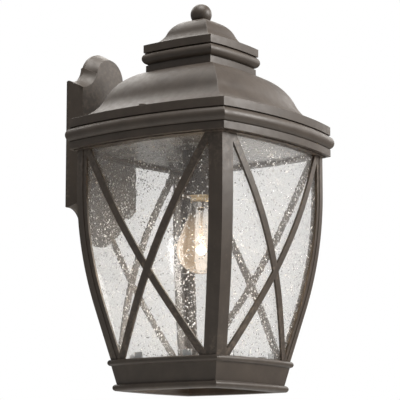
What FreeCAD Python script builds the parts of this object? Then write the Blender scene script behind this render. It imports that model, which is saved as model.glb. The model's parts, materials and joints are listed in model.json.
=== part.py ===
"""Outdoor wall lantern: ogee roof and cupola, bowed four-sided glazed cage with crossed bars, arched wall plate.

Two frames are used.  Pieces of the lantern head are drawn about the lantern's own vertical axis, with
heights measured from its underside, and HEAD moves them into place.  Pieces of the wall mount are drawn
with x to the right, y up and z out from the wall, and WALL turns them upright.  The part's origin is the
centre of the wall plate on the wall's face, +Z is up and the lantern stands out along -Y.

Every side of the head is an arc in plan.  All the arcs of one side share one vertical axis, the bow
axis, so a side is its section turned about that axis, cut to the mitre lines, and repeated four times.
"""

import FreeCAD, Part
import math
import os
import re
import PartDesign
import Sketcher

SIZES = {
    # the wall mount and where the lantern's axis stands from it
    "stand_off": 166,
    "drop": 316,
    "bow_axis": 344,
    "side_sweep": 40,
    "mitre_start": 3,
    "mitre_end": 260,
    "hub_reach": 4,
    # how far a cutter reaches past what it cuts, and the length of an axis line
    "cut_clear": 1,
    "guide_length": 10,
    # base casting: reach is the distance from the lantern's axis to the middle of a side
    "lip_reach": 68,
    "lip_thick": 3,
    "foot_bead_reach": 80.6,
    "foot_bead_radius": 4.05,
    "foot_bead_height": 8,
    "band_foot_reach": 79.7,
    "band_head_reach": 85.3,
    "band_head_level": 30.2,
    "head_bead_reach": 86.1,
    "head_bead_radius": 3.85,
    "head_bead_height": 7.6,
    "base_wall": 3,
    "ledge_reach": 76,
    # cage: a straight flare, then an arc that ends upright
    "cage_foot_level": 37.8,
    "cage_bend_level": 101,
    "cage_crown_level": 249.4,
    "cage_head_level": 294,
    "cage_foot_reach": 85.8,
    "cage_bend_reach": 102.56,
    "cage_reach": 121.96,
    "post_flange": 17.5,
    "post_thick": 4,
    "post_rebate_width": 6.8,
    "post_rebate_depth": 0.8,
    "bar_width": 9.2,
    "bar_front": 1,
    "bar_back": 3.8,
    "glass_thick": 2.8,
    "glass_gap": 6,
    "clip_thick": 1.2,
    "clip_height": 8,
    "clip_near": 30,
    "clip_far": 42,
    # ring that joins the posts' heads, and the plate that rests on it
    "ring_reach": 125.4,
    "ring_inner_reach": 110,
    "ring_thick": 3,
    "ring_head_level": 318,
    "ceiling_reach": 121.8,
    "ceiling_thick": 1.2,
    "ceiling_screw_place": 116,
    # roof
    "skirt_foot_level": 295.6,
    "skirt_inner_reach": 125.9,
    "frieze_reach": 131.1,
    "frieze_head_level": 304.6,
    "quirk_reach": 128.35,
    "roof_bead_radius": 8.75,
    "roof_bead_head_level": 321.8,
    "fascia_foot_level": 322.6,
    "fascia_head_level": 333.4,
    "fascia_reach": 131,
    "fascia_lean": 0.4,
    "flare_reach": 128.3,
    "flare_radius": 45.4,
    "hip_turn_reach": 93.15,
    "hip_turn_level": 360.3,
    "dome_radius": 64.2,
    "roof_crown_reach": 52.5,
    "roof_crown_level": 395.8,
    "roof_wall": 2.5,
    "hip_slope": 66,
    "crown_slope": 16,
    # cupola collar and cap
    "neck_reach": 52.4,
    "neck_head_level": 404,
    "collar_quirk_reach": 50.5,
    "collar_bead_foot_level": 405.4,
    "collar_head_level": 420.2,
    "collar_bead_radius": 7.5,
    "collar_inner_reach": 47,
    "cap_reach": 54.95,
    "cap_fascia_level": 430.2,
    "cap_inner_reach": 48.5,
    "cap_flare_radius": 25,
    "cap_turn_reach": 32,
    "cap_turn_level": 445.8,
    "cap_dome_radius": 30.2,
    "cap_crown_reach": 10.6,
    "cap_crown_level": 464,
    "cap_wall": 2,
    # finial, centre pipe and crossbar
    "ball_radius": 13.4,
    "ball_level": 472.5,
    "washer_thick": 1,
    "washer_radius": 9,
    "pipe_radius": 4.8,
    "pipe_bore": 3.5,
    "pipe_foot_level": 286,
    "pipe_head_level": 474,
    "pipe_fit": 0.08,
    "nut_width": 14,
    "nut_height": 4.5,
    "bar_length": 250,
    "bar_breadth": 25,
    "bar_thick": 3,
    "roof_screw_place": 119.6,
    "roof_screw_radius": 2,
    "roof_screw_head": 4.5,
    "roof_screw_seat_level": 334.5,
    "roof_screw_head_level": 338.4,
    "roof_screw_crown": 1.4,
    # lampholder
    "cup_radius": 23.2,
    "cup_foot_level": 240,
    "cup_wall": 1.2,
    "holder_radius": 19,
    "holder_foot_level": 243,
    "holder_cavity_radius": 14.3,
    "holder_cavity_level": 263,
    "shell_inner_radius": 13.25,
    "shell_foot_level": 244,
    "shell_head_level": 261,
    "contact_half_length": 8,
    "contact_half_breadth": 3,
    "contact_thick": 0.8,
    "contact_rivet_place": 5,
    "contact_rivet_radius": 2,
    "yoke_radius": 16,
    "yoke_thick": 3,
    "yoke_screw_place": 11,
    "yoke_screw_radius": 1.5,
    "yoke_screw_length": 7,
    "yoke_screw_head_radius": 2.8,
    # lamp
    "globe_radius": 30.5,
    "globe_level": 175,
    "globe_wall": 0.8,
    "taper_slope": 22,
    "taper_head_radius": 17.5,
    "taper_head_level": 213.1,
    "shoulder_radius": 44,
    "lamp_neck_radius": 14.3,
    "lamp_neck_level": 229.6,
    "lamp_joint_level": 233,
    "lamp_base_radius": 13.15,
    "lamp_base_wall": 0.8,
    "lamp_base_head_level": 254,
    "insulator_thick": 3,
    "lamp_cone_level": 258,
    "lamp_cone_radius": 5.8,
    "lamp_tip_level": 260,
    "lamp_tip_radius": 4.8,
    "lamp_tip_end_radius": 3,
    "stem_foot_level": 192,
    "stem_foot_radius": 2.6,
    "stem_waist_level": 223.6,
    "stem_waist_radius": 3.4,
    "stem_flare_level": 231.5,
    "stem_flare_radius": 11.15,
    "filament_level": 174,
    "filament_half": 12,
    "filament_radius": 0.9,
    "lead_width": 1,
    "lead_head_place": 1.2,
    # wall plate: the outline has a straight waist, a cove, a small step and an arch
    "gasket_thick": 1.5,
    "gasket_outer_inset": 0.6,
    "gasket_inner_inset": 6,
    "plate_half": 63.5,
    "plate_shoulder": 81.6,
    "cove_centre": 57.6,
    "cove_level": 103.7,
    "cove_radius": 22.1,
    "arch_radius": 35.4,
    "arch_crest": 126.3,
    "rim_depth": 4.5,
    "plate_depth": 20.4,
    "plate_taper": 8.6,
    "plate_wall": 2,
    # mounting bracket and its fasteners
    "bracket_thick": 2.5,
    "bracket_breadth": 25,
    "bracket_half_height": 55,
    "bracket_half_width": 50,
    "box_screw_place": 44.45,
    "slot_half_length": 6,
    "slot_radius": 2.5,
    "stud_place": 42,
    "stud_radius": 2,
    "stud_foot": 0.2,
    "stud_length": 26.5,
    "stud_fit": 0.05,
    "lock_nut_width": 8,
    "lock_nut_height": 3.2,
    "cap_nut_radius": 6,
    "cap_nut_skirt": 3,
    "cap_nut_crown": 5.5,
    "cap_nut_room": 0.6,
    "ground_screw_place": 22,
    "ground_screw_width": 8,
    "ground_screw_height": 3,
    # saddle between the wall plate and the roof
    "saddle_half": 30,
    "saddle_depth": 25,
    "saddle_sweep": 20,
    "saddle_foot": -11.4,
    "saddle_head": 17,
    "saddle_screw_place": 20,
    "saddle_screw_level": 10.4,
    "saddle_back_screw_level": -2,
    "saddle_screw_radius": 2,
    "saddle_back_screw_length": 10,
    "saddle_roof_screw_length": 15,
    "saddle_roof_screw_stand": 0.65,
    "wire_hole_radius": 4.2,
    # fastener details shared by several pieces
    "hole_play": 0.2,
    "screw_play": 0.1,
    "small_head_radius": 3.6,
    "small_head_height": 2.2,
}

doc = FreeCAD.newDocument("wall_lantern")
sheet = doc.addObject("Spreadsheet::Sheet", "Sizes")
for row, (alias, number) in enumerate(SIZES.items(), start=1):
    sheet.set(f"A{row}", alias)
    sheet.set(f"B{row}", str(number))
    sheet.setAlias(f"B{row}", alias)
doc.recompute()

Vector = FreeCAD.Vector
UP = Vector(0, 0, 1)
RIGHT = Vector(1, 0, 0)


def sized(text):
    """The expression with the sheet's name before each of its aliases."""
    return re.sub(r"[a-z_]+", lambda word: f"Sizes.{word[0]}" if word[0] in SIZES else word[0], str(text))


def value(text):
    return float(sheet.evalExpression(sized(text)))


HEAD = Vector(0, -value("stand_off"), -value("drop"))
WALL = FreeCAD.Placement(Vector(0, 0, 0), FreeCAD.Rotation(RIGHT, 90))


def head_placement(quarter_turns=0):
    return FreeCAD.Placement(HEAD, FreeCAD.Rotation(UP, 90 * quarter_turns))


# ---------------------------------------------------------------- sketches

def new_piece(label, placement):
    body = doc.addObject("PartDesign::Body", label)
    body.Label = label
    body.Placement = placement
    return body


def origin_feature(body, role):
    return next(item for item in body.Origin.OriginFeatures if item.Role == role)


def new_sketch(body, role, level="0"):
    """A sketch on one of the body's origin planes, moved along the plane's normal by level."""
    sketch = body.newObject("Sketcher::SketchObject", f"{body.Label}_outline")
    sketch.AttachmentSupport = [(origin_feature(body, role), "")]
    sketch.MapMode = "FlatFace"
    sketch.AttachmentOffset = FreeCAD.Placement(Vector(0, 0, value(level)), FreeCAD.Rotation())
    if level != "0":
        sketch.setExpression("AttachmentOffset.Base.z", sized(level))
    return sketch


def drive(sketch, kind, *where, text):
    """A constraint whose size follows the sheet."""
    number = sketch.addConstraint(Sketcher.Constraint(kind, *where, value(text)))
    sketch.setExpression(f"Constraints[{number}]", sized(text))


def pin_point(sketch, edge, end, x, y):
    """Holds one end of an edge at x, y."""
    for kind, text, axis in (("DistanceX", x, -2), ("DistanceY", y, -1)):
        if abs(value(text)) < 1e-9:
            sketch.addConstraint(Sketcher.Constraint("PointOnObject", edge, end, axis))
        else:
            drive(sketch, kind, -1, 1, edge, end, text=text)


def arc_between(start, end, radius):
    """The shorter arc from start to end; a positive radius turns left on the way."""
    chord = end - start
    side = Vector(chord.y, -chord.x, 0).normalize() * math.copysign(1, radius)
    half = chord.Length / 2
    rise = abs(radius) - math.sqrt(max(radius**2 - half**2, 0))
    return Part.Arc(start, (start + end) * 0.5 + side * rise, end)


def outline(sketch, points):
    """A closed outline; a third value on a point is the radius of the arc that leaves it."""
    places = [Vector(value(point[0]), value(point[1]), 0) for point in points]
    edges = []
    for index, point in enumerate(points):
        start = places[index]
        end = places[(index + 1) % len(points)]
        if len(point) == 3:
            edge = sketch.addGeometry(arc_between(start, end, value(point[2])))
        else:
            edge = sketch.addGeometry(Part.LineSegment(start, end))
        forward = (sketch.getPoint(edge, 1) - start).Length < 1e-6
        edges.append((edge, 1 if forward else 2, 2 if forward else 1))
    for index, point in enumerate(points):
        edge, first, last = edges[index]
        following, following_first, _ = edges[(index + 1) % len(points)]
        sketch.addConstraint(Sketcher.Constraint("Coincident", edge, last, following, following_first))
        pin_point(sketch, edge, first, point[0], point[1])
        if len(point) == 3:
            drive(sketch, "Radius", edge, text=f"abs({point[2]})")


def circle(sketch, x, y, radius):
    centre = Vector(value(x), value(y), 0)
    edge = sketch.addGeometry(Part.Circle(centre, UP, value(radius)))
    pin_point(sketch, edge, 3, x, y)
    drive(sketch, "Radius", edge, text=radius)


def rectangle(sketch, left, low, right, high):
    outline(sketch, [(left, low), (right, low), (right, high), (left, high)])


def hexagon(sketch, x, y, across):
    """A hexagon given by its width across flats."""
    corners = []
    for number in range(6):
        angle = 60 * number
        corners.append((f"{x} + {across}/sqrt(3)*cos({angle})", f"{y} + {across}/sqrt(3)*sin({angle})"))
    outline(sketch, corners)


def guide(sketch, start, end):
    """A construction line for an axis."""
    line = Part.LineSegment(Vector(*map(value, start)), Vector(*map(value, end)))
    edge = sketch.addGeometry(line, True)
    pin_point(sketch, edge, 1, *start)
    pin_point(sketch, edge, 2, *end)


# ---------------------------------------------------------------- features

def add_feature(body, kind, profile):
    doc.recompute()
    feature = body.newObject(f"PartDesign::{kind}", f"{body.Label}_{kind.lower()}")
    feature.Profile = profile
    return feature


def pad(body, sketch, depth, reverse=False, both_ways=False):
    feature = add_feature(body, "Pad", sketch)
    feature.setExpression("Length", sized(depth))
    feature.Reversed = reverse
    feature.Midplane = both_ways
    doc.recompute()


def check_cut(body, feature, before):
    doc.recompute()
    if not body.Shape.Volume < before - 1e-6:
        raise RuntimeError(f"{feature.Name} removes nothing")


def cut(body, sketch, depth=None, reverse=False, both_ways=False):
    """A pocket, through everything when no depth is given."""
    before = body.Shape.Volume
    feature = add_feature(body, "Pocket", sketch)
    feature.Reversed = reverse
    feature.Midplane = both_ways
    if depth is None:
        feature.Type = "ThroughAll"
    else:
        feature.setExpression("Length", sized(depth))
    check_cut(body, feature, before)


def turn(body, sketch, axis="V_Axis", sweep=None, kind="Revolution"):
    """Sweeps a section about an axis: a full turn, or sweep degrees centred on the section."""
    before = body.Shape.Volume if kind == "Groove" else 0
    feature = add_feature(body, kind, sketch)
    feature.ReferenceAxis = (sketch, [axis])
    if sweep is not None:
        feature.setExpression("Angle", sized(sweep))
        feature.Midplane = True
    doc.recompute()
    if kind == "Groove":
        check_cut(body, feature, before)


def polar(body, count):
    """Repeats the whole body about its own z axis."""
    pattern = body.newObject("PartDesign::PolarPattern", f"{body.Label}_polar")
    pattern.TransformMode = "Whole shape"
    pattern.Axis = (origin_feature(body, "Z_Axis"), [""])
    pattern.Angle = 360
    pattern.Occurrences = count
    body.Tip = pattern
    doc.recompute()


def mirror(body, plane):
    """Adds the mirror image of the whole body; plane is an origin plane's role or (sketch, axis)."""
    reflection = body.newObject("PartDesign::Mirrored", f"{body.Label}_mirror")
    reflection.TransformMode = "Whole shape"
    if isinstance(plane, str):
        reflection.MirrorPlane = (origin_feature(body, plane), [""])
    else:
        reflection.MirrorPlane = plane
    body.Tip = reflection
    doc.recompute()


def side(body, points, inset="0"):
    """One bowed side from its section; inset keeps it clear of the mitre lines."""
    section = new_sketch(body, "XZ_Plane")
    outline(section, points)
    guide(section, ("-bow_axis", "0"), ("-bow_axis", "guide_length"))
    turn(body, section, axis="Axis0", sweep="side_sweep")
    waste = new_sketch(body, "XY_Plane")
    for sign in ("", "-"):
        outline(waste, [
            (f"mitre_start + {inset}", f"{sign}mitre_start"),
            (f"mitre_end + {inset}", f"{sign}mitre_end"),
            ("-mitre_end", f"{sign}mitre_end"),
            ("-mitre_end", f"{sign}mitre_start"),
        ])
    cut(body, waste, both_ways=True)


def bowed_ring(label, points):
    body = new_piece(label, head_placement())
    side(body, points)
    polar(body, 4)
    return body


def turned(label, placement, points, place="0"):
    """A round piece about an upright axis at x = place; its points are measured from that axis."""
    body = new_piece(label, placement)
    section = new_sketch(body, "XZ_Plane")
    outline(section, [(f"{place} + {point[0]}", *point[1:]) for point in points])
    if place == "0":
        turn(body, section)
    else:
        guide(section, (place, "0"), (place, "guide_length"))
        turn(body, section, axis="Axis0")
    return body


# ---------------------------------------------------------------- shared outlines

CAGE_ARC = ("((cage_crown_level - cage_bend_level)^2 + (cage_reach - cage_bend_reach)^2)"
            " / (2*(cage_reach - cage_bend_reach))")


def corner_of(reach):
    """Half-width at the corner of a bowed square whose sides reach this far at their middles."""
    return f"((sqrt(2*({reach} + bow_axis)^2 - bow_axis^2) - bow_axis)/2)"


def cage_layer(front, back):
    """Section of a sheet that follows the cage, between two depths behind its outer face."""
    return [
        (f"cage_foot_reach - {front}", "cage_foot_level"),
        (f"cage_bend_reach - {front}", "cage_bend_level", CAGE_ARC),
        (f"cage_reach - {front}", "cage_crown_level"),
        (f"cage_reach - {front}", "cage_head_level"),
        (f"cage_reach - {back}", "cage_head_level"),
        (f"cage_reach - {back}", "cage_crown_level", f"-{CAGE_ARC}"),
        (f"cage_bend_reach - {back}", "cage_bend_level"),
        (f"cage_foot_reach - {back}", "cage_foot_level"),
    ]


def flange_edge(sign="", width="post_flange"):
    """Line at one width in from a post's corner, seen square on: foot, bend, crown and head."""
    foot = corner_of("cage_foot_reach")
    bend = corner_of("cage_bend_reach")
    crown = corner_of("cage_reach")
    rise = "(cage_crown_level - cage_bend_level)"
    radius = f"({rise}^2 + ({crown} - {bend})^2) / (2*({crown} - {bend}))"
    return [
        (f"{sign}({foot} - {width})", "cage_foot_level - cut_clear"),
        (f"{sign}({bend} - {width})", "cage_bend_level", radius if sign == "" else f"-{radius}"),
        (f"{sign}({crown} - {width})", "cage_crown_level"),
        (f"{sign}({crown} - {width})", "cage_head_level + cut_clear"),
    ]


def plate_outline(sketch, inset):
    """Outline of the wall plate, moved inwards by inset."""
    inset = f"({inset})"
    arch = f"(arch_radius - {inset})"
    step = f"sqrt({arch}^2 - (cove_level - {inset} - arch_crest + arch_radius)^2)"
    cove = f"cove_centre - sqrt((cove_radius + {inset})^2 - {inset}^2)"
    right_half = [
        (f"plate_half - {inset}", f"plate_shoulder - {inset}"),
        ("cove_centre", f"plate_shoulder - {inset}", f"-(cove_radius + {inset})"),
        (cove, f"cove_level - {inset}"),
        (step, f"cove_level - {inset}", arch),
    ]
    left_half = [(f"-({x[0]})", x[1]) for x in reversed(right_half)]
    left_half[1] = (*left_half[1], f"-(cove_radius + {inset})")
    top = right_half + left_half
    bottom = [(f"-({point[0]})", f"-({point[1]})", *point[2:]) for point in top]
    outline(sketch, top + bottom)


# ---------------------------------------------------------------- base and cage

def make_base_frame():
    head = "band_head_level + head_bead_height"
    bowed_ring("base_frame", [
        ("lip_reach", "0"),
        ("foot_bead_reach", "0", "foot_bead_radius"),
        ("foot_bead_reach", "foot_bead_height"),
        ("band_foot_reach", "foot_bead_height"),
        ("band_head_reach", "band_head_level"),
        ("head_bead_reach", "band_head_level", "head_bead_radius"),
        ("head_bead_reach", head),
        ("ledge_reach", head),
        ("ledge_reach", f"{head} - base_wall"),
        ("band_head_reach - base_wall", f"{head} - base_wall"),
        ("band_head_reach - base_wall", "band_head_level"),
        ("band_foot_reach - base_wall", "foot_bead_height"),
        ("band_foot_reach - base_wall", "lip_thick"),
        ("lip_reach", "lip_thick"),
    ])


def make_cage_top_ring():
    body = bowed_ring("cage_top_ring", [
        ("ring_inner_reach", "cage_head_level"),
        ("ring_reach", "cage_head_level"),
        ("ring_reach", "ring_head_level"),
        ("ring_reach - ring_thick", "ring_head_level"),
        ("ring_reach - ring_thick", "cage_head_level + ring_thick"),
        ("ring_inner_reach", "cage_head_level + ring_thick"),
    ])
    drill_ceiling_screws(body)


def drill_ceiling_screws(body):
    holes = new_sketch(body, "XY_Plane", "cage_head_level - cut_clear")
    for sign in ("", "-"):
        circle(holes, f"{sign}ceiling_screw_place", "0", "roof_screw_radius")
        circle(holes, "0", f"{sign}ceiling_screw_place", "roof_screw_radius")
    cut(body, holes, "ring_thick + ceiling_thick + 2*cut_clear", reverse=True)


def make_post(label, quarter_turns):
    """An angle-section post at the corner between two sides, its flanges stepped back along their inner edges."""
    body = new_piece(label, head_placement(quarter_turns))
    for depth, width in (("0", "(post_flange - post_rebate_width)"), ("post_rebate_depth", "post_flange")):
        side(body, cage_layer(depth, "post_thick"))
        waste = new_sketch(body, "YZ_Plane")
        outline(waste, flange_edge(width=width) + [
            ("-mitre_end", "cage_head_level + cut_clear"),
            ("-mitre_end", "cage_foot_level - cut_clear"),
        ])
        cut(body, waste, both_ways=True)
    mitre = new_sketch(body, "XY_Plane")
    guide(mitre, ("0", "0"), ("guide_length", "guide_length"))
    doc.recompute()
    mirror(body, (mitre, ["Axis0"]))


def bar_edge(sign, offset):
    """One long edge of a bar that rises to the right, or to the left when sign is '-'."""
    run = f"(({corner_of('cage_foot_reach')} + {corner_of('cage_reach')})/2 - post_flange)"
    half_height = "((cage_head_level - cage_foot_level)/2)"
    shift = f"(bar_width/2*sqrt(1 + ({run}/{half_height})^2))"
    foot = f"{corner_of('cage_foot_reach')} - post_flange"
    head = f"{corner_of('cage_reach')} - post_flange"
    return [
        (f"{sign}(0 - ({foot}) {offset} {shift})", "cage_foot_level"),
        (f"{sign}({head} {offset} {shift})", "cage_head_level"),
    ]


def make_bar(label, quarter_turns, sign, split):
    """A flat bar across one side; the split one butts against the other where they cross."""
    body = new_piece(label, head_placement(quarter_turns))
    side(body, cage_layer("bar_front", "bar_back"))
    waste = new_sketch(body, "YZ_Plane")
    for offset in ("-", "+"):
        limit = f"{sign}(0 {offset} mitre_end)"
        outline(waste, bar_edge(sign, offset) + [(limit, "cage_head_level"), (limit, "cage_foot_level")])
    cut(body, waste, both_ways=True)
    for post_sign in ("", "-"):
        corner = new_sketch(body, "YZ_Plane")
        outline(corner, flange_edge(post_sign) + [
            (f"{post_sign}mitre_end", "cage_head_level + cut_clear"),
            (f"{post_sign}mitre_end", "cage_foot_level - cut_clear"),
        ])
        cut(body, corner, both_ways=True)
    if split:
        other = "" if sign == "-" else "-"
        crossing = new_sketch(body, "YZ_Plane")
        left, right = bar_edge(other, "-"), bar_edge(other, "+")
        outline(crossing, left + right[::-1])
        cut(body, crossing, both_ways=True)


def make_glass(label, quarter_turns):
    body = new_piece(label, head_placement(quarter_turns))
    side(body, cage_layer("post_thick", "(post_thick + glass_thick)"), inset="glass_gap")


def make_glass_clips():
    """Short tabs on the base's ledge that hold the panes against the posts, two to a pane."""
    body = new_piece("glass_clips", head_placement())
    near = "post_thick + glass_thick"
    top = "cage_foot_level + clip_height"
    side(body, [
        (f"cage_foot_reach - ({near})", "cage_foot_level"),
        (f"cage_foot_reach - ({near})", top),
        (f"cage_foot_reach - ({near}) - clip_thick", top),
        (f"cage_foot_reach - ({near}) - clip_thick", "cage_foot_level"),
    ])
    waste = new_sketch(body, "YZ_Plane")
    low, high = "cage_foot_level - cut_clear", f"{top} + cut_clear"
    rectangle(waste, "-clip_near", low, "clip_near", high)
    for sign in ("", "-"):
        rectangle(waste, f"{sign}clip_far", low, f"{sign}mitre_end", high)
    cut(body, waste, both_ways=True)
    polar(body, 4)


SIDES = {"right": 0, "rear": 1, "left": 2, "front": 3}
CORNERS = {"rear_right": 0, "rear_left": 1, "front_left": 2, "front_right": 3}


def make_cage():
    for name, quarter_turns in CORNERS.items():
        make_post(f"post_{name}", quarter_turns)
    for name, quarter_turns in SIDES.items():
        make_bar(f"lattice_{name}_long_bar", quarter_turns, "", False)
        make_bar(f"lattice_{name}_cut_bar", quarter_turns, "-", True)
        make_glass(f"glass_{name}", quarter_turns)
    make_glass_clips()


# ---------------------------------------------------------------- roof, cupola and finial

def make_roof_shell():
    hip = "roof_wall*sin(hip_slope)", "roof_wall*cos(hip_slope)"
    crown = "roof_wall*sin(crown_slope)", "roof_wall*cos(crown_slope)"
    body = bowed_ring("roof_shell", [
        ("skirt_inner_reach", "skirt_foot_level"),
        ("frieze_reach", "skirt_foot_level"),
        ("frieze_reach", "frieze_head_level"),
        ("quirk_reach", "frieze_head_level", "roof_bead_radius"),
        ("quirk_reach", "roof_bead_head_level"),
        ("quirk_reach", "fascia_foot_level"),
        ("fascia_reach", "fascia_foot_level"),
        ("fascia_reach", "fascia_head_level"),
        ("flare_reach", "fascia_head_level + fascia_lean", "-flare_radius"),
        ("hip_turn_reach", "hip_turn_level", "dome_radius"),
        ("roof_crown_reach", "roof_crown_level"),
        ("hub_reach", "roof_crown_level"),
        ("hub_reach", "roof_crown_level - roof_wall"),
        (f"roof_crown_reach - {crown[0]}", f"roof_crown_level - {crown[1]}", "-(dome_radius - roof_wall)"),
        (f"hip_turn_reach - {hip[0]}", f"hip_turn_level - {hip[1]}", "flare_radius + roof_wall"),
        ("skirt_inner_reach", "fascia_head_level - roof_wall"),
    ])
    drill_pipe_hole(body, "roof_crown_level - 2*roof_wall", "4*roof_wall")
    seats = new_sketch(body, "XY_Plane", "roof_screw_seat_level")
    holes = new_sketch(body, "XY_Plane", "ring_head_level")
    for x in ("roof_screw_place", "-roof_screw_place"):
        circle(seats, x, "0", "roof_screw_head + hole_play")
        circle(holes, x, "0", "roof_screw_radius + hole_play")
    cut(body, seats, "2*roof_screw_head", reverse=True)
    cut(body, holes, "roof_screw_seat_level - ring_head_level + cut_clear", reverse=True)
    rear = new_sketch(body, "XZ_Plane")
    circle(rear, "0", "drop + saddle_screw_level", "wire_hole_radius")
    for x in ("saddle_screw_place", "-saddle_screw_place"):
        circle(rear, x, "drop + saddle_screw_level", "saddle_screw_radius + hole_play")
    cut(body, rear, "stand_off")


def drill_pipe_hole(body, level, depth):
    """A hole on the lantern's axis that the centre pipe fits."""
    hole = new_sketch(body, "XY_Plane", level)
    circle(hole, "0", "0", "pipe_radius + pipe_fit")
    cut(body, hole, depth, reverse=True)


def make_cupola():
    bowed_ring("cupola_collar", [
        ("collar_inner_reach", "roof_crown_level"),
        ("neck_reach", "roof_crown_level"),
        ("neck_reach", "neck_head_level"),
        ("collar_quirk_reach", "neck_head_level"),
        ("collar_quirk_reach", "collar_bead_foot_level", "collar_bead_radius"),
        ("collar_quirk_reach", "collar_head_level"),
        ("collar_inner_reach", "collar_head_level"),
    ])
    hip = "cap_wall*sin(hip_slope)", "cap_wall*cos(hip_slope)"
    crown = "cap_wall*sin(crown_slope)", "cap_wall*cos(crown_slope)"
    body = bowed_ring("cupola_cap", [
        ("cap_inner_reach", "collar_head_level"),
        ("cap_reach", "collar_head_level"),
        ("cap_reach", "cap_fascia_level", "-cap_flare_radius"),
        ("cap_turn_reach", "cap_turn_level", "cap_dome_radius"),
        ("cap_crown_reach", "cap_crown_level"),
        ("hub_reach", "cap_crown_level"),
        ("hub_reach", "cap_crown_level - cap_wall"),
        (f"cap_crown_reach - {crown[0]}", f"cap_crown_level - {crown[1]}", "-(cap_dome_radius - cap_wall)"),
        (f"cap_turn_reach - {hip[0]}", f"cap_turn_level - {hip[1]}", "cap_flare_radius + cap_wall"),
        ("cap_inner_reach", "cap_fascia_level - cap_wall"),
    ])
    drill_pipe_hole(body, "cap_crown_level - 2*cap_wall", "4*cap_wall")


def make_finial():
    foot = "cap_crown_level + washer_thick"
    bore = "pipe_radius + pipe_fit"
    turned("finial_washer", head_placement(), [
        (bore, "cap_crown_level"),
        ("washer_radius", "cap_crown_level"),
        ("washer_radius", foot),
        (bore, foot),
    ])
    turned("finial_ball", head_placement(), [
        (bore, foot),
        (f"sqrt(ball_radius^2 - (ball_level - ({foot}))^2)", foot, "ball_radius"),
        ("0", "ball_level + ball_radius"),
        ("0", "pipe_head_level + cut_clear"),
        (bore, "pipe_head_level + cut_clear"),
    ])


def make_centre_pipe():
    turned("centre_pipe", head_placement(), [
        ("pipe_bore", "pipe_foot_level"),
        ("pipe_radius", "pipe_foot_level"),
        ("pipe_radius", "pipe_head_level"),
        ("pipe_bore", "pipe_head_level"),
    ])
    body = new_piece("pipe_nuts", head_placement())
    ceiling_head = "cage_head_level + ring_thick + ceiling_thick"
    for level in ("pipe_foot_level + yoke_thick", ceiling_head, "ring_head_level - nut_height",
                  "ring_head_level + bar_thick", "roof_crown_level - roof_wall - nut_height"):
        nut = new_sketch(body, "XY_Plane", level)
        hexagon(nut, "0", "0", "nut_width")
        circle(nut, "0", "0", "pipe_radius")
        pad(body, nut, "nut_height")


def make_crossbar():
    """Flat bar across the cage's ring; the centre pipe and the two roof screws hold to it."""
    body = new_piece("crossbar", head_placement())
    strip = new_sketch(body, "XY_Plane", "ring_head_level")
    rectangle(strip, "-bar_length/2", "-bar_breadth/2", "bar_length/2", "bar_breadth/2")
    circle(strip, "0", "0", "pipe_radius + pipe_fit")
    for x in ("roof_screw_place", "-roof_screw_place"):
        circle(strip, x, "0", "roof_screw_radius")
    pad(body, strip, "bar_thick")


def make_roof_screws():
    body = turned("roof_screws", head_placement(), [
        ("0", "ring_head_level - bar_thick"),
        ("roof_screw_radius", "ring_head_level - bar_thick"),
        ("roof_screw_radius", "roof_screw_seat_level"),
        ("roof_screw_head", "roof_screw_seat_level"),
        ("roof_screw_head", "roof_screw_head_level - roof_screw_crown",
         "(roof_screw_head^2 + roof_screw_crown^2)/(2*roof_screw_crown)"),
        ("0", "roof_screw_head_level"),
    ], place="roof_screw_place")
    mirror(body, "YZ_Plane")


def make_ceiling():
    low = "cage_head_level + ring_thick"
    high = "cage_head_level + ring_thick + ceiling_thick"
    body = bowed_ring("ceiling_plate", [
        ("hub_reach", low),
        ("ceiling_reach", low),
        ("ceiling_reach", high),
        ("hub_reach", high),
    ])
    drill_pipe_hole(body, low, "4*ceiling_thick")
    drill_ceiling_screws(body)
    body = turned("ceiling_screws", head_placement(), [
        ("0", "cage_head_level"),
        ("roof_screw_radius - hole_play", "cage_head_level"),
        ("roof_screw_radius - hole_play", high),
        ("small_head_radius", high),
        ("small_head_radius", f"{high} + small_head_height"),
        ("0", f"{high} + small_head_height"),
    ], place="ceiling_screw_place")
    polar(body, 4)


def make_roof():
    make_roof_shell()
    make_cupola()
    make_finial()
    make_centre_pipe()
    make_crossbar()
    make_roof_screws()
    make_ceiling()


# ---------------------------------------------------------------- lampholder and lamp

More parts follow.
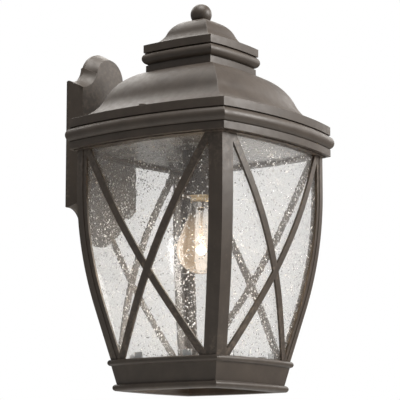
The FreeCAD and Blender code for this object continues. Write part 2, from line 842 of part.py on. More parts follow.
def make_lampholder():
    top = "cage_head_level + ring_thick"
    inner = "(cup_radius - cup_wall)"
    turned("socket_cup", head_placement(), [
        (inner, "cup_foot_level"),
        ("cup_radius", "cup_foot_level"),
        ("cup_radius", top),
        ("pipe_radius + pipe_fit", top),
        ("pipe_radius + pipe_fit", f"{top} - cup_wall"),
        (inner, f"{top} - cup_wall"),
    ])
    holder = turned("lampholder", head_placement(), [
        ("0", "holder_cavity_level"),
        ("holder_cavity_radius", "holder_cavity_level"),
        ("holder_cavity_radius", "holder_foot_level"),
        ("holder_radius", "holder_foot_level"),
        ("holder_radius", "pipe_foot_level"),
        ("0", "pipe_foot_level"),
    ])
    drill_yoke_screws(holder, "pipe_foot_level - yoke_screw_length - cut_clear",
                      "yoke_screw_length + 2*cut_clear")
    turned("holder_screw_shell", head_placement(), [
        ("shell_inner_radius", "shell_foot_level"),
        ("holder_cavity_radius", "shell_foot_level"),
        ("holder_cavity_radius", "shell_head_level"),
        ("shell_inner_radius", "shell_head_level"),
    ])
    contact = new_piece("centre_contact", head_placement())
    tongue = new_sketch(contact, "XY_Plane", "lamp_tip_level + hole_play")
    rectangle(tongue, "-contact_half_length", "-contact_half_breadth",
              "contact_half_length", "contact_half_breadth")
    pad(contact, tongue, "contact_thick")
    rivet = new_sketch(contact, "XY_Plane", "lamp_tip_level + hole_play + contact_thick")
    circle(rivet, "-contact_rivet_place", "0", "contact_rivet_radius")
    pad(contact, rivet, "holder_cavity_level - lamp_tip_level - hole_play - contact_thick")
    yoke = turned("lampholder_yoke", head_placement(), [
        ("pipe_radius + pipe_fit", "pipe_foot_level"),
        ("yoke_radius", "pipe_foot_level"),
        ("yoke_radius", "pipe_foot_level + yoke_thick"),
        ("pipe_radius + pipe_fit", "pipe_foot_level + yoke_thick"),
    ])
    drill_yoke_screws(yoke, "pipe_foot_level - cut_clear", "yoke_thick + 2*cut_clear")
    seat = "pipe_foot_level + yoke_thick"
    screws = turned("yoke_screws", head_placement(), [
        ("0", "pipe_foot_level - yoke_screw_length"),
        ("yoke_screw_radius", "pipe_foot_level - yoke_screw_length"),
        ("yoke_screw_radius", seat),
        ("yoke_screw_head_radius", seat),
        ("yoke_screw_head_radius", f"{seat} + small_head_height"),
        ("0", f"{seat} + small_head_height"),
    ], place="yoke_screw_place")
    mirror(screws, "YZ_Plane")


def drill_yoke_screws(body, level, depth):
    holes = new_sketch(body, "XY_Plane", level)
    for x in ("yoke_screw_place", "-yoke_screw_place"):
        circle(holes, x, "0", "yoke_screw_radius + screw_play")
    cut(body, holes, depth, reverse=True)


def globe_points(wall):
    """Half section of the lamp's glass at a depth inside its outer face, from the crown down the axis."""
    globe = f"(globe_radius - {wall})"
    return [
        ("0", f"globe_level - {globe}", globe),
        (f"{globe}*cos(taper_slope)", f"globe_level + {globe}*sin(taper_slope)"),
        (f"taper_head_radius - {wall}", "taper_head_level", f"-(shoulder_radius + {wall})"),
        (f"lamp_neck_radius - {wall}", "lamp_neck_level"),
        (f"lamp_base_radius - {wall}", "lamp_joint_level"),
    ]


def make_lamp():
    outer = globe_points("0")
    inner = globe_points("globe_wall")
    radii = [point[2:] for point in inner]
    back = []
    for index in range(len(inner) - 1, -1, -1):
        leaving = radii[index - 1] if index else ()
        turned_back = tuple(f"-({radius})" for radius in leaving)
        back.append((*inner[index][:2], *turned_back))
    turned("lamp_glass", head_placement(), outer + back)
    wall = "lamp_base_radius - lamp_base_wall"
    turned("lamp_base", head_placement(), [
        (wall, "lamp_joint_level"),
        ("lamp_base_radius", "lamp_joint_level"),
        ("lamp_base_radius", "lamp_base_head_level"),
        (wall, "lamp_base_head_level"),
    ])
    turned("lamp_base_insulator", head_placement(), [
        ("0", "lamp_base_head_level - insulator_thick"),
        (wall, "lamp_base_head_level - insulator_thick"),
        (wall, "lamp_base_head_level"),
        ("lamp_cone_radius", "lamp_cone_level"),
        ("0", "lamp_cone_level"),
    ])
    turned("lamp_tip_contact", head_placement(), [
        ("0", "lamp_cone_level"),
        ("lamp_tip_radius", "lamp_cone_level"),
        ("lamp_tip_end_radius", "lamp_tip_level"),
        ("0", "lamp_tip_level"),
    ])
    turned("lamp_stem", head_placement(), [
        ("0", "stem_foot_level"),
        ("stem_foot_radius", "stem_foot_level"),
        ("stem_waist_radius", "stem_waist_level"),
        ("stem_flare_radius", "stem_flare_level"),
        ("stem_flare_radius", "lamp_joint_level"),
        ("0", "lamp_joint_level"),
    ])
    filament = new_piece("filament", head_placement())
    coil = new_sketch(filament, "YZ_Plane")
    circle(coil, "0", "filament_level", "filament_radius")
    pad(filament, coil, "2*filament_half", both_ways=True)
    leads = new_piece("filament_leads", head_placement())
    wire = new_sketch(leads, "XZ_Plane")
    outline(wire, [
        ("filament_half", "filament_level + filament_radius"),
        ("filament_half - lead_width", "filament_level + filament_radius"),
        ("lead_head_place", "stem_foot_level"),
        ("lead_head_place + lead_width", "stem_foot_level"),
    ])
    pad(leads, wire, "lead_width", both_ways=True)
    mirror(leads, "YZ_Plane")


# ---------------------------------------------------------------- wall mount

def make_wall_plate():
    """A shallow pan: a straight rim at the wall, then edges that lean in to the flat front."""
    body = new_piece("wall_plate", WALL)
    rim = new_sketch(body, "XY_Plane", "gasket_thick")
    plate_outline(rim, "0")
    pad(body, rim, "rim_depth - gasket_thick")
    loft_between(body, "AdditiveLoft", ("rim_depth", "0"), ("plate_depth", "plate_taper"))
    hollow = new_sketch(body, "XY_Plane", "gasket_thick")
    plate_outline(hollow, "plate_wall")
    cut(body, hollow, "rim_depth - gasket_thick", reverse=True)
    loft_between(body, "SubtractiveLoft", ("rim_depth", "plate_wall"),
                 ("plate_depth - plate_wall", "plate_taper + plate_wall"))
    holes = new_sketch(body, "XY_Plane", "plate_depth - 2*plate_wall")
    for sign in ("", "-"):
        circle(holes, f"{sign}stud_place", "0", "stud_radius + 2*hole_play")
        circle(holes, f"{sign}saddle_screw_place", "saddle_back_screw_level",
               "saddle_screw_radius + hole_play")
    circle(holes, "0", "saddle_screw_level", "wire_hole_radius")
    cut(body, holes, "4*plate_wall", reverse=True)


def loft_between(body, kind, *sections):
    """A loft from one moved-in wall plate outline to another; each section is a level and an inset."""
    before = body.Shape.Volume
    sketches = []
    for level, inset in sections:
        sketch = new_sketch(body, "XY_Plane", level)
        plate_outline(sketch, inset)
        sketches.append(sketch)
    loft = add_feature(body, kind, sketches[0])
    loft.Sections = sketches[1:]
    loft.Ruled = True
    doc.recompute()
    if kind == "SubtractiveLoft":
        check_cut(body, loft, before)


def make_wall_gasket():
    body = new_piece("wall_gasket", WALL)
    sheet_outline = new_sketch(body, "XY_Plane")
    plate_outline(sheet_outline, "gasket_outer_inset")
    plate_outline(sheet_outline, "gasket_inner_inset")
    pad(body, sheet_outline, "gasket_thick")


def make_bracket():
    """A cross-shaped strap: upright arms slotted for the box screws, level arms drilled for the studs."""
    body = new_piece("mounting_bracket", WALL)
    cross = new_sketch(body, "XY_Plane")
    half = "bracket_breadth/2"
    outline(cross, [
        (half, half), (half, "bracket_half_height"), (f"-{half}", "bracket_half_height"),
        (f"-{half}", half), ("-bracket_half_width", half), ("-bracket_half_width", f"-{half}"),
        (f"-{half}", f"-{half}"), (f"-{half}", "-bracket_half_height"),
        (half, "-bracket_half_height"), (half, f"-{half}"),
        ("bracket_half_width", f"-{half}"), ("bracket_half_width", half),
    ])
    for sign in ("", "-"):
        circle(cross, f"{sign}stud_place", "0", "stud_radius + stud_fit")
    circle(cross, "0", "-ground_screw_place", "stud_radius")
    pad(body, cross, "bracket_thick")
    slots = new_sketch(body, "XY_Plane")
    for sign in ("", "-"):
        slot(slots, f"{sign}box_screw_place")
    cut(body, slots, reverse=True)


def slot(sketch, y):
    """An upright slot with round ends, centred on y."""
    straight = "(slot_half_length - slot_radius)"
    outline(sketch, [
        ("-slot_radius", f"{y} - {straight}", "slot_radius"),
        ("0", f"{y} - slot_half_length", "slot_radius"),
        ("slot_radius", f"{y} - {straight}"),
        ("slot_radius", f"{y} + {straight}", "slot_radius"),
        ("0", f"{y} + slot_half_length", "slot_radius"),
        ("-slot_radius", f"{y} + {straight}"),
    ])


def make_plate_fasteners():
    studs = turned("plate_studs", WALL, [
        ("0", "stud_foot"),
        ("stud_radius", "stud_foot"),
        ("stud_radius", "stud_length"),
        ("0", "stud_length"),
    ], place="stud_place")
    mirror(studs, "YZ_Plane")
    nuts = new_piece("stud_lock_nuts", WALL)
    hexes = new_sketch(nuts, "XY_Plane", "bracket_thick")
    for sign in ("", "-"):
        hexagon(hexes, f"{sign}stud_place", "0", "lock_nut_width")
        circle(hexes, f"{sign}stud_place", "0", "stud_radius + stud_fit")
    pad(nuts, hexes, "lock_nut_height")
    cap_nuts = turned("plate_cap_nuts", WALL, [
        ("stud_radius + stud_fit", "plate_depth"),
        ("cap_nut_radius", "plate_depth"),
        ("cap_nut_radius", "plate_depth + cap_nut_skirt",
         "(cap_nut_radius^2 + cap_nut_crown^2)/(2*cap_nut_crown)"),
        ("0", "plate_depth + cap_nut_skirt + cap_nut_crown"),
        ("0", "stud_length + cap_nut_room"),
        ("stud_radius + stud_fit", "stud_length + cap_nut_room"),
    ], place="stud_place")
    mirror(cap_nuts, "YZ_Plane")
    ground = new_piece("ground_screw", WALL)
    head = new_sketch(ground, "XY_Plane", "bracket_thick")
    hexagon(head, "0", "-ground_screw_place", "ground_screw_width")
    pad(ground, head, "ground_screw_height")
    shank = new_sketch(ground, "XY_Plane", "stud_foot")
    circle(shank, "0", "-ground_screw_place", "stud_radius")
    pad(ground, shank, "bracket_thick - stud_foot")


def make_saddle():
    """Cast block between the plate and the roof, its front shaped to the roof's bead and fascia."""
    body = new_piece("roof_saddle", WALL)
    block = new_sketch(body, "XY_Plane", "plate_depth")
    rectangle(block, "-saddle_half", "saddle_foot", "saddle_half", "saddle_head")
    pad(body, block, "saddle_depth")
    roof = new_sketch(body, "YZ_Plane")
    low, bead_head = "(frieze_head_level - drop)", "(roof_bead_head_level - drop)"
    fascia = "(fascia_foot_level - drop)"
    beyond = "plate_depth + 2*saddle_depth"
    outline(roof, [
        (f"{low} - cut_clear", "stand_off - quirk_reach"),
        (low, "stand_off - quirk_reach", "roof_bead_radius"),
        (bead_head, "stand_off - quirk_reach"),
        (fascia, "stand_off - quirk_reach"),
        (fascia, "stand_off - fascia_reach"),
        ("saddle_head + cut_clear", "stand_off - fascia_reach"),
        ("saddle_head + cut_clear", beyond),
        (f"{low} - cut_clear", beyond),
    ])
    guide(roof, ("0", "stand_off + bow_axis"), ("guide_length", "stand_off + bow_axis"))
    turn(body, roof, axis="Axis0", sweep="saddle_sweep", kind="Groove")
    holes = new_sketch(body, "XY_Plane", "plate_depth - cut_clear")
    circle(holes, "0", "saddle_screw_level", "wire_hole_radius")
    for sign in ("", "-"):
        for level in ("saddle_screw_level", "saddle_back_screw_level"):
            circle(holes, f"{sign}saddle_screw_place", level, "saddle_screw_radius")
    cut(body, holes, reverse=True)


def make_saddle_screws():
    """Two screws into the saddle's back from behind the plate, two into its front from inside the roof."""
    seat = "(plate_depth - plate_wall)"
    pan_head_screws("saddle_back_screws", "saddle_back_screw_level", seat, "saddle_back_screw_length")
    seat = "(stand_off - skirt_inner_reach + saddle_roof_screw_stand)"
    pan_head_screws("saddle_roof_screws", "saddle_screw_level", seat, "saddle_roof_screw_length", to_wall=True)


def pan_head_screws(label, y, seat, length, to_wall=False):
    """A pair of screws whose heads bear at the depth called seat; their shanks point out, or to the wall."""
    body = new_piece(label, WALL)
    for radius, height, towards_wall in (("saddle_screw_radius", length, to_wall),
                                         ("small_head_radius", "small_head_height", not to_wall)):
        disc = new_sketch(body, "XY_Plane", seat)
        for sign in ("", "-"):
            circle(disc, f"{sign}saddle_screw_place", y, radius)
        pad(body, disc, height, reverse=towards_wall)


def make_wall_mount():
    make_wall_gasket()
    make_wall_plate()
    make_bracket()
    make_plate_fasteners()
    make_saddle()
    make_saddle_screws()


def check_and_write():
    doc.recompute()
    for item in doc.Objects:
        if "Invalid" in item.State or "Error" in item.State:
            raise RuntimeError(f"{item.Label} failed: {item.State}")
    os.makedirs("parts", exist_ok=True)
    for body in doc.findObjects("PartDesign::Body"):
        shape = body.Shape
        if shape.isNull() or not shape.isValid():
            raise RuntimeError(f"{body.Label} has no valid shape")
        shape.exportStep(f"parts/{body.Label}.step")
        print(f"{body.Label:28s} {len(shape.Solids)} solid(s) {shape.Volume / 1000:9.2f} cm3")


make_base_frame()
make_cage_top_ring()
make_cage()
make_roof()
make_lampholder()
make_lamp()
make_wall_mount()
check_and_write()
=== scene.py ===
"""Looks of the outdoor wall lantern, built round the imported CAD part.

The CAD solids stay as they are and get materials, and five castings get fine edge rounding.
Finer pieces take the place of four CAD solids: the lamp's wound filament, its two leads, its threaded base
and the threaded shell that takes it.  The seeds in the panes are built too, and ride on the fixture.
"""

import json
import math
import random

import bmesh
import bpy
from mathutils import Matrix, Vector
from mathutils.bvhtree import BVHTree


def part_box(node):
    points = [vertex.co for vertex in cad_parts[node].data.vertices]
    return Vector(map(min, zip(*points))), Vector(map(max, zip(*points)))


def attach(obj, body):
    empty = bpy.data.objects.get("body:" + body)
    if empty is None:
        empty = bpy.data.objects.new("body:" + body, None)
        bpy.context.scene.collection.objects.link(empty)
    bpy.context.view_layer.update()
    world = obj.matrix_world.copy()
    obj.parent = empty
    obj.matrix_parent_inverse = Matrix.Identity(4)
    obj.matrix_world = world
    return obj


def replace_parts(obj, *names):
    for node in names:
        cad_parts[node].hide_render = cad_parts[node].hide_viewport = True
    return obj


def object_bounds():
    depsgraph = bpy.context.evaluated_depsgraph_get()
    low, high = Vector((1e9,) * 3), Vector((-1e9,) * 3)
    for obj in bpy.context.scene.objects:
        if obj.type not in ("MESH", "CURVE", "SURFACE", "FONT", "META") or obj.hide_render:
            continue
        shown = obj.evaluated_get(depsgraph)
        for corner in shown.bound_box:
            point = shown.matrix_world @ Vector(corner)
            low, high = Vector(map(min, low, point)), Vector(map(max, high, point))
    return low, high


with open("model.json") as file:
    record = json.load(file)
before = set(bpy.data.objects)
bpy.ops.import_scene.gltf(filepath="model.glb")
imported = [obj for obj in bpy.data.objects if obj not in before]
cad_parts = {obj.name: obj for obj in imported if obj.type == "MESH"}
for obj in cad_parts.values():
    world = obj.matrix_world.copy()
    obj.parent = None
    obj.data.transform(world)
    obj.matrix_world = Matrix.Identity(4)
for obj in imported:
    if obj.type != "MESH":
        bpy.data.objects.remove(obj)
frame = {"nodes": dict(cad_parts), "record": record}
cad_low, cad_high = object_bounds()
nodes = frame["nodes"]

MM = 0.001
AXIS_Y = sum(corner.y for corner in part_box("finial_ball")) / 2
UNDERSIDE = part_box("base_frame")[0].z


def put(name, data):
    """A new object in the scene."""
    made = bpy.data.objects.new(name, data)
    bpy.context.collection.objects.link(made)
    return made


# ---------------------------------------------------------------- node helpers

class Nodes:
    """A node tree under construction; each method but feed adds nodes and returns the last, or its output."""

    def __init__(self, tree):
        self.tree = tree
        self.places = None

    def feed(self, socket, value):
        """Link a socket to the input, or set a plain value on it."""
        if isinstance(value, bpy.types.NodeSocket):
            self.tree.links.new(value, socket)
        else:
            socket.default_value = value

    def node(self, kind, settings=None, **inputs):
        """A node with settings on it, and values or sockets in its named or numbered inputs."""
        made = self.tree.nodes.new(kind)
        for name, value in (settings or {}).items():
            setattr(made, name, value)
        for name, value in inputs.items():
            key = int(name.removeprefix("input")) if name.startswith("input") else name.replace("_", " ")
            self.feed(made.inputs[key], value)
        return made

    def here(self):
        """Object coordinates."""
        if self.places is None:
            self.places = self.node("ShaderNodeTexCoord").outputs["Object"]
        return self.places

    def noise(self, scale, detail=3.0, roughness=0.5, where=None):
        made = self.node("ShaderNodeTexNoise", Vector=where or self.here(), Scale=scale, Detail=detail,
                         Roughness=roughness)
        return made.outputs["Fac"]

    def stretched(self, x, y, z):
        """Object coordinates with each axis scaled."""
        made = self.node("ShaderNodeMapping", Vector=self.here(), Scale=(x, y, z))
        return made.outputs["Vector"]

    def spread(self, value, low, high, to_low=0.0, to_high=1.0):
        """The value's range low to high, mapped to another and cut off at its ends."""
        made = self.node("ShaderNodeMapRange", Value=value, From_Min=low, From_Max=high,
                         To_Min=to_low, To_Max=to_high)
        return made.outputs["Result"]

    def maths(self, operation, first, second=0.0):
        made = self.node("ShaderNodeMath", {"operation": operation}, input0=first, input1=second)
        return made.outputs["Value"]

    def between(self, share, first, second):
        """A colour mixed from two others, each a socket or three numbers."""
        first, second = (colour if isinstance(colour, bpy.types.NodeSocket) else (*colour, 1.0)
                         for colour in (first, second))
        made = self.node("ShaderNodeMix", {"data_type": "RGBA"}, input0=share, input6=first, input7=second)
        return made.outputs[2]

    def bump(self, height, strength, distance, under=None):
        """A bumped normal, on top of another if one is given."""
        made = self.node("ShaderNodeBump", Height=height, Strength=strength, Distance=distance)
        if under is not None:
            self.feed(made.inputs["Normal"], under)
        return made.outputs["Normal"]


class Shader(Nodes):
    """A material under construction."""

    def __init__(self, name, **settings):
        self.material = bpy.data.materials.new(name)
        self.material.use_nodes = True
        super().__init__(self.material.node_tree)
        self.surface = self.tree.nodes["Principled BSDF"]
        self.set(**settings)

    def set(self, **settings):
        """Put values or sockets in the surface's named inputs."""
        for name, value in settings.items():
            self.feed(self.surface.inputs[name.replace("_", " ")], value)

    def let_lamps_through(self):
        """Let shadow rays pass this glass straight, so that lights reach what it encloses."""
        clear = self.node("ShaderNodeBsdfTransparent", Color=(0.96, 0.96, 0.95, 1.0))
        path = self.node("ShaderNodeLightPath")
        mix = self.node("ShaderNodeMixShader", Fac=path.outputs["Is Shadow Ray"],
                        input1=self.surface.outputs["BSDF"], input2=clear.outputs["BSDF"])
        self.feed(self.tree.nodes["Material Output"].inputs["Surface"], mix.outputs["Shader"])


# ---------------------------------------------------------------- materials

def bronze_paint():
    """Satin dark bronze powder coat on cast aluminium: soft blotches, orange peel, arrises paler in patches.
    """
    dark, light, pale_edge_colour = (0.046, 0.034, 0.025), (0.062, 0.047, 0.035), (0.13, 0.10, 0.075)
    shader = Shader("bronze_paint", Metallic=0.0, IOR=1.5, Specular_IOR_Level=0.55)
    blotch = shader.spread(shader.noise(38.0, 4.0, 0.6), 0.35, 0.68)
    coat = shader.between(blotch, dark, light)
    # Paler colour in patches along the sharp edges, where pointiness is high.
    edge = shader.node("ShaderNodeNewGeometry").outputs["Pointiness"]
    sharp_edges = shader.spread(edge, 0.53, 0.6)
    patchy = shader.spread(shader.noise(160.0, 3.0, 0.7), 0.45, 0.7)
    coat = shader.between(shader.maths("MULTIPLY", sharp_edges, patchy), coat, pale_edge_colour)
    peel = shader.bump(shader.noise(900.0, 2.0, 0.5), 0.14, 0.0004)
    casting = shader.bump(shader.noise(55.0, 2.0, 0.5), 0.12, 0.0012, under=peel)
    shader.set(Base_Color=coat, Normal=casting,
               Roughness=shader.spread(shader.noise(120.0, 3.0, 0.6), 0.3, 0.7, 0.42, 0.56))
    return shader.material


def seeded_glass():
    """Clear sheet with a slow wave, faint streaks drawn down it and a dusting of the finest seeds."""
    shader = Shader("seeded_glass", IOR=1.45, Transmission_Weight=0.95, Roughness=0.0)
    wave = shader.bump(shader.noise(24.0, 1.0, 0.4), 0.22, 0.0014)
    drawn = shader.noise(90.0, 2.0, 0.5, where=shader.stretched(1.0, 1.0, 0.25))
    cells = shader.node("ShaderNodeTexVoronoi", Vector=shader.here(), Scale=330.0)
    dome = shader.spread(cells.outputs["Distance"], 0.0, 0.34, 1.0, 0.0)
    lot = shader.node("ShaderNodeSeparateColor", Color=cells.outputs["Color"]).outputs["Red"]
    chosen = shader.maths("GREATER_THAN", lot, 0.84)
    dust = shader.maths("MULTIPLY", dome, chosen)
    sheet = shader.bump(drawn, 0.12, 0.0005, under=wave)
    shader.set(
        Base_Color=shader.between(shader.noise(12.0), (0.88, 0.88, 0.877), (0.92, 0.918, 0.915)),
        Normal=shader.bump(dust, 0.8, 0.0008, under=sheet),
    )
    shader.let_lamps_through()
    return shader.material


def seed_bubble():
    """A seed: air seen from the glass round it, so it bends light hard and shows against any ground."""
    shader = Shader("seed_bubble", IOR=0.69, Transmission_Weight=0.55, Roughness=0.35)
    shader.set(
        Base_Color=shader.between(shader.noise(300.0), (0.72, 0.70, 0.67), (0.98, 0.97, 0.95)),
        Normal=shader.bump(shader.noise(900.0), 0.2, 0.0003),
    )
    shader.let_lamps_through()
    return shader.material


def lamp_glass_material():
    """Clear lamp glass that glows warm round the filament."""
    shader = Shader("lamp_glass_clear", IOR=1.45, Transmission_Weight=1.0, Roughness=0.0)
    low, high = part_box("filament")
    heart = ((low + high) / 2)[:]
    gap = shader.node("ShaderNodeVectorMath", {"operation": "DISTANCE"}, input0=shader.here(),
                      input1=heart).outputs["Value"]
    glow = shader.spread(gap, 0.024, 0.050, 0.13, 0.0)
    shader.set(
        Base_Color=shader.between(shader.noise(60.0), (0.99, 0.975, 0.95), (1.0, 0.99, 0.98)),
        Emission_Color=(1.0, 0.70, 0.42, 1.0),
        Emission_Strength=glow,
        Normal=shader.bump(shader.noise(30.0), 0.1, 0.001),
    )
    shader.let_lamps_through()
    return shader.material


def hot_wire():
    """The filament, white hot in patches."""
    shader = Shader("hot_wire", Roughness=0.4)
    heat = shader.spread(shader.noise(400.0), 0.3, 0.7, 14.0, 22.0)
    shader.set(Base_Color=shader.between(shader.noise(800.0), (0.3, 0.27, 0.22), (0.5, 0.46, 0.4)),
               Emission_Color=(1.0, 0.72, 0.4, 1.0), Emission_Strength=heat)
    return shader.material


def metal(name, dark, light, rough, grain=(1.0, 1.0, 1.0)):
    """Bare metal with stretched grain and blotchy roughness."""
    shader = Shader(name, Metallic=1.0)
    streak = shader.noise(500.0, 3.0, 0.6, where=shader.stretched(*grain))
    blotch = shader.noise(70.0, 4.0, 0.6)
    shader.set(
        Base_Color=shader.between(shader.spread(blotch, 0.3, 0.7), dark, light),
        Roughness=shader.spread(streak, 0.3, 0.7, rough * 0.8, rough * 1.25),
        Normal=shader.bump(streak, 0.12, 0.0003),
    )
    return shader.material


def reflector_sheet():
    """Pale, dull rolled aluminium of the ceiling plate."""
    shader = Shader("reflector_sheet", Metallic=1.0)
    streak = shader.noise(300.0, 3.0, 0.6, where=shader.stretched(0.04, 1.0, 1.0))
    shader.set(
        Base_Color=shader.between(streak, (0.52, 0.50, 0.48), (0.66, 0.645, 0.62)),
        Roughness=shader.spread(shader.noise(40.0), 0.3, 0.7, 0.2, 0.3),
        Normal=shader.bump(streak, 0.12, 0.0003),
    )
    return shader.material


def dielectric(name, dark, light, rough, scale, bump, **settings):
    """Glazed, moulded or foamed surface with a mottled colour and a fine texture."""
    shader = Shader(name, **settings)
    mottle = shader.noise(scale, 4.0, 0.6)
    shader.set(
        Base_Color=shader.between(shader.spread(mottle, 0.3, 0.7), dark, light),
        Roughness=shader.spread(shader.noise(scale * 2.0), 0.3, 0.7, rough * 0.85, rough * 1.15),
        Normal=shader.bump(shader.noise(scale * 6.0), bump, 0.0004),
    )
    return shader.material


def make_materials():
    """Every material by its slot's name, and the leads' own."""
    return {
        "bronze_paint": bronze_paint(),
        "reflector": reflector_sheet(),
        "seeded_glass": seeded_glass(),
        "lamp_glass": lamp_glass_material(),
        "brass": metal("drawn_brass", (0.60, 0.47, 0.28), (0.78, 0.65, 0.43), 0.3, grain=(1.0, 1.0, 6.0)),
        "zinc_steel": metal("zinc_plate", (0.50, 0.51, 0.52), (0.68, 0.69, 0.70), 0.32),
        "porcelain": dielectric("porcelain", (0.70, 0.67, 0.60), (0.83, 0.81, 0.76), 0.16, 60.0, 0.05,
                                Coat_Weight=0.5, Coat_Roughness=0.08),
        "gasket_rubber": dielectric("gasket_rubber", (0.015, 0.015, 0.015), (0.035, 0.034, 0.033),
                                    0.85, 400.0, 0.4),
        "black_insulator": dielectric("black_insulator", (0.012, 0.012, 0.015), (0.03, 0.03, 0.035),
                                      0.12, 80.0, 0.05),
        "filament_wire": hot_wire(),
        "lead_wire": metal("lead_wire", (0.55, 0.50, 0.42), (0.75, 0.70, 0.60), 0.3),
        "ground_green": dielectric("ground_green", (0.015, 0.16, 0.045), (0.03, 0.26, 0.08), 0.35,
                                   200.0, 0.1),
    }


# ---------------------------------------------------------------- CAD nodes: edges and finish

ROUNDING = {
    "base_frame": 0.35 * MM, "roof_shell": 0.3 * MM, "cupola_collar": 0.3 * MM, "cupola_cap": 0.35 * MM,
    "roof_saddle": 0.6 * MM,
}
SHARP = math.radians(28)


def round_edges(node, width):
    """Fine rounding of a CAD node's arrises, by modifiers only."""
    weld = node.modifiers.new("weld", "WELD")
    weld.merge_threshold = 0.002 * MM
    bevel = node.modifiers.new("arris", "BEVEL")
    bevel.width = width
    bevel.segments = 2
    bevel.limit_method = "ANGLE"
    bevel.angle_limit = SHARP
    bevel.use_clamp_overlap = False
    normals = node.modifiers.new("normals", "WEIGHTED_NORMAL")
    normals.keep_sharp = False


def finish_cad_nodes(materials):
    """Each CAD node's material, and rounding for those that have a width for it."""
    for part in frame["record"]["subparts"]:
        node = nodes[part["node"]]
        node.data.materials.clear()
        node.data.materials.append(materials[part["material_slot"]])
        if part["node"] in ROUNDING:
            round_edges(node, ROUNDING[part["node"]])


# ---------------------------------------------------------------- pieces built here

def add_piece(name, data, material, body):
    """A piece from a mesh or curve, riding on the body."""
    piece = put(name, data)
    data.materials.append(material)
    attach(piece, body)
    return piece


def finished_mesh(mesh, name):
    """A smooth mesh datablock from a bmesh, which is freed."""
    bmesh.ops.recalc_face_normals(mesh, faces=mesh.faces)
    for face in mesh.faces:
        face.smooth = True
    made = bpy.data.meshes.new(name)
    mesh.to_mesh(made)
    mesh.free()
    return made


RISE = {link["joint"]: link["ratio"] for link in frame["record"]["behaviour"]["couplings"]}
PITCH = 2 * math.pi * RISE["lamp_drop"]
THREAD_DEPTH = 0.8 * MM
THREAD_WALL = 0.5 * MM
THREAD_STEPS = 48
ROWS_PER_TURN = 12


def threaded_tube(name, radius, low, high):
    """A thin tube rolled into a rounded screw thread; radius is the crest's, on its outer face.

    The thread's phase depends only on height and angle, so any two such tubes mesh with each other."""
    rows = round((high - low) / PITCH * ROWS_PER_TURN)
    runout = PITCH / 2
    outer = [(low + (high - low) * row / rows, 0.0) for row in range(rows + 1)]
    loop = outer + [(height, -THREAD_WALL) for height, _ in reversed(outer)]
    mesh = bmesh.new()
    rings = []
    for height, inset in loop:
        fade = min(1.0, (height - low) / runout, (high - height) / runout)
        ring = []
        for step in range(THREAD_STEPS):
            angle = 2 * math.pi * step / THREAD_STEPS
            roll = math.cos(2 * math.pi * height / PITCH - angle)
            reach = radius + inset - fade * THREAD_DEPTH * (1 - roll) / 2
            place = (reach * math.cos(angle), AXIS_Y + reach * math.sin(angle), height)
            ring.append(mesh.verts.new(place))
        rings.append(ring)
    for ring, following in zip(rings, rings[1:] + rings[:1]):
        for step in range(THREAD_STEPS):
            other = (step + 1) % THREAD_STEPS
            mesh.faces.new((ring[step], ring[other], following[other], following[step]))
    return finished_mesh(mesh, name)


def make_threads(materials):
    """The lamp's screw base and the shell that it turns in, in place of the CAD's plain tubes."""
    for name, plain, body in (("lamp_base_threaded", "lamp_base", "lamp"),
                              ("holder_shell_threaded", "holder_screw_shell", "fixture")):
        low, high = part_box(plain)
        tube = threaded_tube(name, high.x, low.z, high.z)
        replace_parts(add_piece(name, tube, materials["brass"], body), plain)


def wire(name, points, radius, material, body):
    """A round wire along a smooth line that the points pull."""
    curve = bpy.data.curves.new(name, "CURVE")
    curve.dimensions = "3D"
    curve.bevel_depth = radius
    curve.bevel_resolution = 2
    curve.use_fill_caps = True
    spline = curve.splines.new("NURBS")
    spline.points.add(len(points) - 1)
    for point, place in zip(spline.points, points):
        point.co = (*place, 1.0)
    spline.order_u = 3
    spline.use_endpoint_u = True
    return add_piece(name, curve, material, body)


WINDING_TURNS = 34
WINDING_STEPS = 10
WINDING_WIRE = 0.16 * MM
LEAD_WIRE = 0.3 * MM
LEAD_STRAIGHT = 3 * MM
LEAD_SWELL = 1 * MM
STEM_LEADS_APART = 3.4 * MM
LEAD_TUCK = 0.5 * MM


def make_filament(materials):
    """The winding, along the CAD rod, and the two leads that come down to its ends from the stem."""
    low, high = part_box("filament")
    reach = (high.z - low.z) / 2 - WINDING_WIRE
    middle = (low.z + high.z) / 2
    steps = WINDING_TURNS * WINDING_STEPS
    winding = []
    for step in range(steps + 1):
        share = step / steps
        angle = 2 * math.pi * WINDING_TURNS * share
        along = low.x + WINDING_WIRE + (high.x - low.x - 2 * WINDING_WIRE) * share
        winding.append((along, AXIS_Y + reach * math.cos(angle), middle + reach * math.sin(angle)))
    coil = wire("filament_winding", winding, WINDING_WIRE, materials["filament_wire"], "lamp")
    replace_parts(coil, "filament")
    low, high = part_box("filament_leads")
    straight = Vector((0, 0, LEAD_STRAIGHT))
    for sign, side in ((1, "right"), (-1, "left")):
        start = Vector((sign * STEM_LEADS_APART / 2, AXIS_Y, high.z))
        end = Vector((sign * (high.x - LEAD_TUCK), AXIS_Y, low.z - LEAD_TUCK))
        swell = start.lerp(end, 0.5) + Vector((sign * LEAD_SWELL, 0, 0))
        points = [start, start - straight, swell, end + straight, end]
        lead = wire(f"filament_lead_{side}", points, LEAD_WIRE, materials["lead_wire"], "lamp")
        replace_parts(lead, "filament_leads")


SEEDS_PER_PANE = 1300
SEED_SMALL, SEED_LARGE = 0.45 * MM, 1.1 * MM
SEED_STRETCH = 1.9
SIDES = {"front": -90, "right": 0, "rear": 90, "left": 180}  # degrees from +X to each pane's middle
PANE_SWEEP = 40
PANE_EDGE = 6 * MM


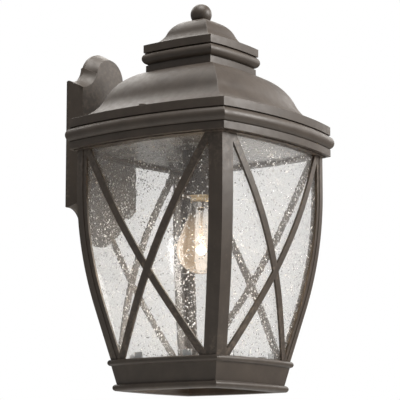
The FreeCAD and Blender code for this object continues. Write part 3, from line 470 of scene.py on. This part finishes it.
def make_seeds(material):
    """Bubbles scattered through each pane, half way through the sheet and drawn out along it."""
    draw = random.Random(7)
    for side, facing in SIDES.items():
        node = nodes[f"glass_{side}"]
        faces = [tuple(face.vertices) for face in node.data.polygons]
        tree = BVHTree.FromPolygons([vertex.co for vertex in node.data.vertices], faces)
        low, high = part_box(f"glass_{side}")
        mesh = bmesh.new()
        made = 0
        while made < SEEDS_PER_PANE:
            angle = math.radians(facing + draw.uniform(-PANE_SWEEP, PANE_SWEEP))
            height = draw.uniform(low.z + PANE_EDGE, high.z - PANE_EDGE)
            size = SEED_SMALL + (SEED_LARGE - SEED_SMALL) * draw.random() ** 2
            stretch = draw.uniform(1.0, SEED_STRETCH)
            axis = Vector((0, AXIS_Y, height))
            outward = Vector((math.cos(angle), math.sin(angle), 0))
            inner = tree.ray_cast(axis, outward)[0]
            outer = tree.ray_cast(axis + outward, -outward)[0]
            if inner is None or outer is None:
                continue
            made += 1
            shape = Matrix.Diagonal((size, size, size * stretch, 1))
            place = Matrix.Translation((inner + outer) / 2) @ shape
            bmesh.ops.create_icosphere(mesh, subdivisions=1, radius=1.0, matrix=place)
        name = f"seeds_{side}"
        add_piece(name, finished_mesh(mesh, name), material, "fixture")


# ---------------------------------------------------------------- studio

VIEW_AZIMUTH = math.radians(-54.18)
VIEW_DISTANCE = 2.279
CAMERA_BELOW = 0.1255
CAMERA_TURN = math.radians(0.037)
CAMERA_PITCH = math.radians(9.03)
LENS, SENSOR = 167.8, 36.0
FLOOR_BELOW = 1.2
FLOOR_HALF = 6.0
AMBIENT = 0.27
SOFTBOX_DISTANCE = 2.6
WARM = (1.0, 0.97, 0.93)
WARMER = (1.0, 0.965, 0.93)
WHITE = (1.0, 1.0, 1.0)


def make_camera():
    """The photograph's standpoint: below the lantern, left of it and a little over two metres off."""
    data = bpy.data.cameras.new("camera")
    data.lens = LENS
    data.sensor_width = SENSOR
    camera = put("camera", data)
    back = Vector((math.sin(VIEW_AZIMUTH), -math.cos(VIEW_AZIMUTH), 0))
    camera.location = Vector((0, AXIS_Y, UNDERSIDE - CAMERA_BELOW)) + back * VIEW_DISTANCE
    turned = VIEW_AZIMUTH + CAMERA_TURN
    aim = Vector((-math.sin(turned) * math.cos(CAMERA_PITCH), math.cos(turned) * math.cos(CAMERA_PITCH),
                  math.sin(CAMERA_PITCH)))
    camera.rotation_mode = "QUATERNION"
    camera.rotation_quaternion = aim.to_track_quat("-Z", "Y")
    bpy.context.scene.camera = camera


def softbox(name, azimuth, elevation, size, power, colour):
    """An area light that faces the lantern; azimuth 0 is in front of it, towards -Y."""
    data = bpy.data.lights.new(name, "AREA")
    data.shape = "RECTANGLE"
    data.size, data.size_y = size
    data.energy = power
    data.color = colour
    light = put(name, data)
    turn, rise = math.radians(azimuth), math.radians(elevation)
    away = Vector((math.sin(turn) * math.cos(rise), -math.cos(turn) * math.cos(rise), math.sin(rise)))
    centre = (cad_low + cad_high) / 2
    light.location = centre + away * SOFTBOX_DISTANCE
    light.rotation_mode = "QUATERNION"
    light.rotation_quaternion = away.to_track_quat("Z", "Y")


def make_lamp_light():
    """The lit lamp's light on the inside of the cage."""
    data = bpy.data.lights.new("lamp_light", "POINT")
    data.energy = 0.22
    data.color = (1.0, 0.74, 0.48)
    data.shadow_soft_size = 0.006
    low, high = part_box("filament")
    put("lamp_light", data).location = (low + high) / 2


def make_world():
    """White studio: seen straight or through clear glass it is white, and it lights surfaces more dimly."""
    world = bpy.data.worlds.new("studio")
    bpy.context.scene.world = world
    world.use_nodes = True
    sky = Nodes(world.node_tree)
    path = sky.node("ShaderNodeLightPath").outputs
    seen = sky.maths("MAXIMUM", path["Is Camera Ray"], path["Is Transmission Ray"])
    for depth in ("Diffuse Depth", "Glossy Depth"):
        seen = sky.maths("MULTIPLY", seen, sky.maths("LESS_THAN", path[depth], 0.5))
    background = sky.tree.nodes["Background"].inputs
    sky.feed(background["Color"], (1.0, 1.0, 1.0, 1.0))
    sky.feed(background["Strength"], sky.spread(seen, 0.0, 1.0, AMBIENT, 1.0))


def make_floor():
    """A pale floor well below the lantern, which hangs on a wall."""
    level = UNDERSIDE - FLOOR_BELOW
    corners = [(x * FLOOR_HALF, y * FLOOR_HALF, level) for x, y in ((-1, -1), (1, -1), (1, 1), (-1, 1))]
    mesh = bpy.data.meshes.new("floor")
    mesh.from_pydata(corners, [], [(0, 1, 2, 3)])
    floor = put("floor", mesh)
    shader = Shader("pale_floor", Roughness=0.8)
    shader.set(Base_Color=shader.between(shader.noise(3.0), (0.78, 0.78, 0.77), (0.82, 0.82, 0.81)))
    mesh.materials.append(shader.material)


def make_studio():
    """World, floor, camera and lights."""
    bpy.context.scene.view_settings.view_transform = "Standard"
    make_world()
    make_floor()
    make_camera()
    softbox("key", 28, 24, (1.0, 1.0), 74, WARMER)
    softbox("right", 88, 22, (1.2, 1.0), 12, WARMER)
    softbox("top", -50, 78, (1.6, 1.6), 75, WARM)
    softbox("rear_high", 145, 46, (2.4, 1.4), 40, WARM)
    softbox("rear_low", 116, -9, (0.8, 0.6), 0.65, WHITE)
    make_lamp_light()


materials = make_materials()
finish_cad_nodes(materials)
make_threads(materials)
make_filament(materials)
make_seeds(seed_bubble())
make_studio()
